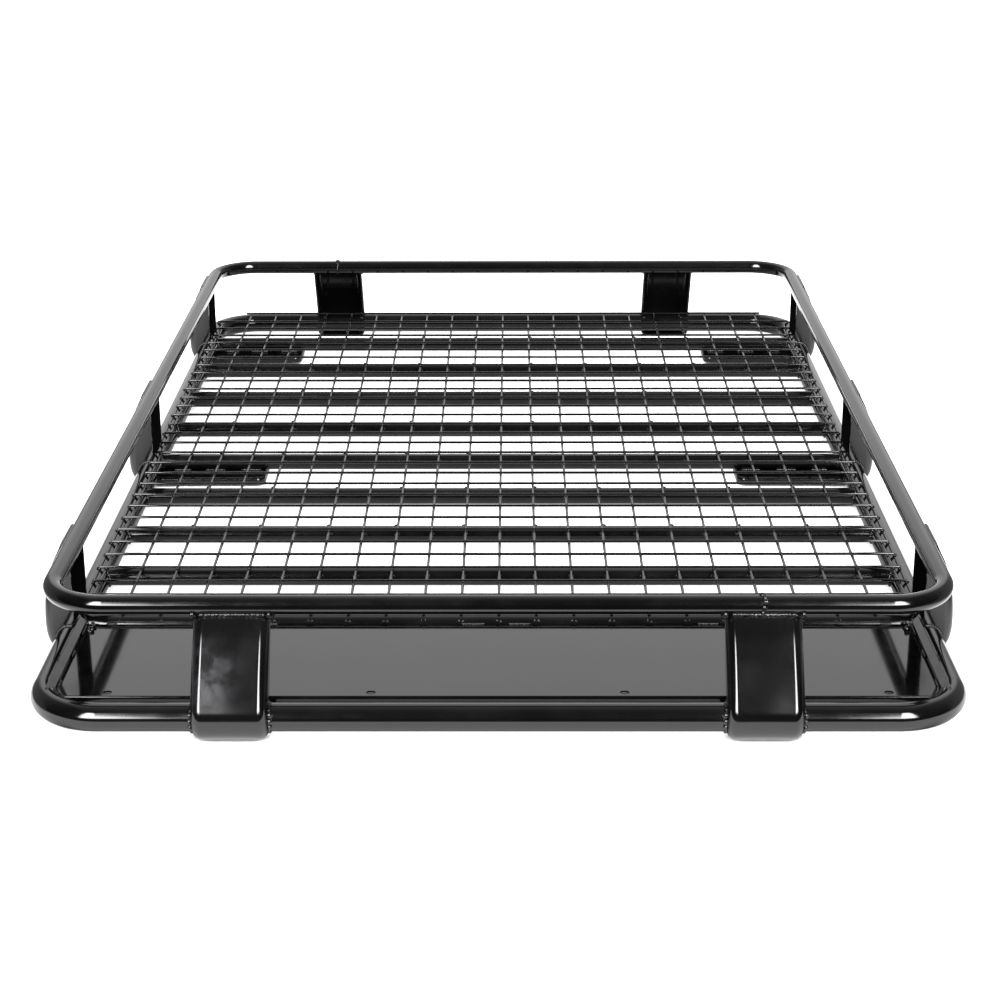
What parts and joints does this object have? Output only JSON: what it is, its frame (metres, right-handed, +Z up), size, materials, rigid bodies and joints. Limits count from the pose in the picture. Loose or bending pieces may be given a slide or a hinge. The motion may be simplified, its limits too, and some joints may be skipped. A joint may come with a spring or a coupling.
{
  "type": "roof cargo basket",
  "caption": "Flat vehicle roof basket: welded tube frame with wire mesh floor, raised perimeter rail on pressed uprights, front infill sheet and mounting plates underneath.",
  "frame": {"origin": "middle of the footprint, on the lowest plane (undersides of the uprights)", "axes": "+Z up, -Y towards the front of the vehicle (the end with the infill sheet), X across the vehicle"},
  "size_m": [1.1918, 1.8662, 0.1638],
  "materials": {
    "gloss_black_tube": "high-gloss black powder coat on round steel tube",
    "gloss_black_pressing": "high-gloss black powder coat on 3 mm pressed steel",
    "gloss_black_plate": "gloss black powder coat on steel flat bar and plate",
    "gloss_black_sheet": "high-gloss black powder coat on 2 mm steel sheet",
    "gloss_black_wire": "gloss black powder coat on 4 mm welded wire"
  },
  "bodies": {
    "root": {"base_rail_left": "gloss_black_tube", "base_rail_right": "gloss_black_tube", "top_rail_left": "gloss_black_tube", "top_rail_right": "gloss_black_tube", "crossbar_1": "gloss_black_tube", "crossbar_2": "gloss_black_tube", "crossbar_3": "gloss_black_tube", "crossbar_4": "gloss_black_tube", "crossbar_5": "gloss_black_tube", "crossbar_6": "gloss_black_tube", "crossbar_7": "gloss_black_tube", "crossbar_8": "gloss_black_tube", "front_crossbar": "gloss_black_tube", "upright_end_front_left": "gloss_black_pressing", "upright_end_front_right": "gloss_black_pressing", "upright_end_rear_left": "gloss_black_pressing", "upright_end_rear_right": "gloss_black_pressing", "upright_left_front": "gloss_black_pressing", "upright_left_middle": "gloss_black_pressing", "upright_left_rear": "gloss_black_pressing", "upright_right_front": "gloss_black_pressing", "upright_right_middle": "gloss_black_pressing", "upright_right_rear": "gloss_black_pressing", "mount_plate_left_front": "gloss_black_plate", "mount_plate_left_middle": "gloss_black_plate", "mount_plate_left_rear": "gloss_black_plate", "mount_plate_right_front": "gloss_black_plate", "mount_plate_right_middle": "gloss_black_plate", "mount_plate_right_rear": "gloss_black_plate", "front_sheet": "gloss_black_sheet", "side_strip_left": "gloss_black_plate", "side_strip_right": "gloss_black_plate", "mesh_floor": "gloss_black_wire"}
  },
  "joints": []
}
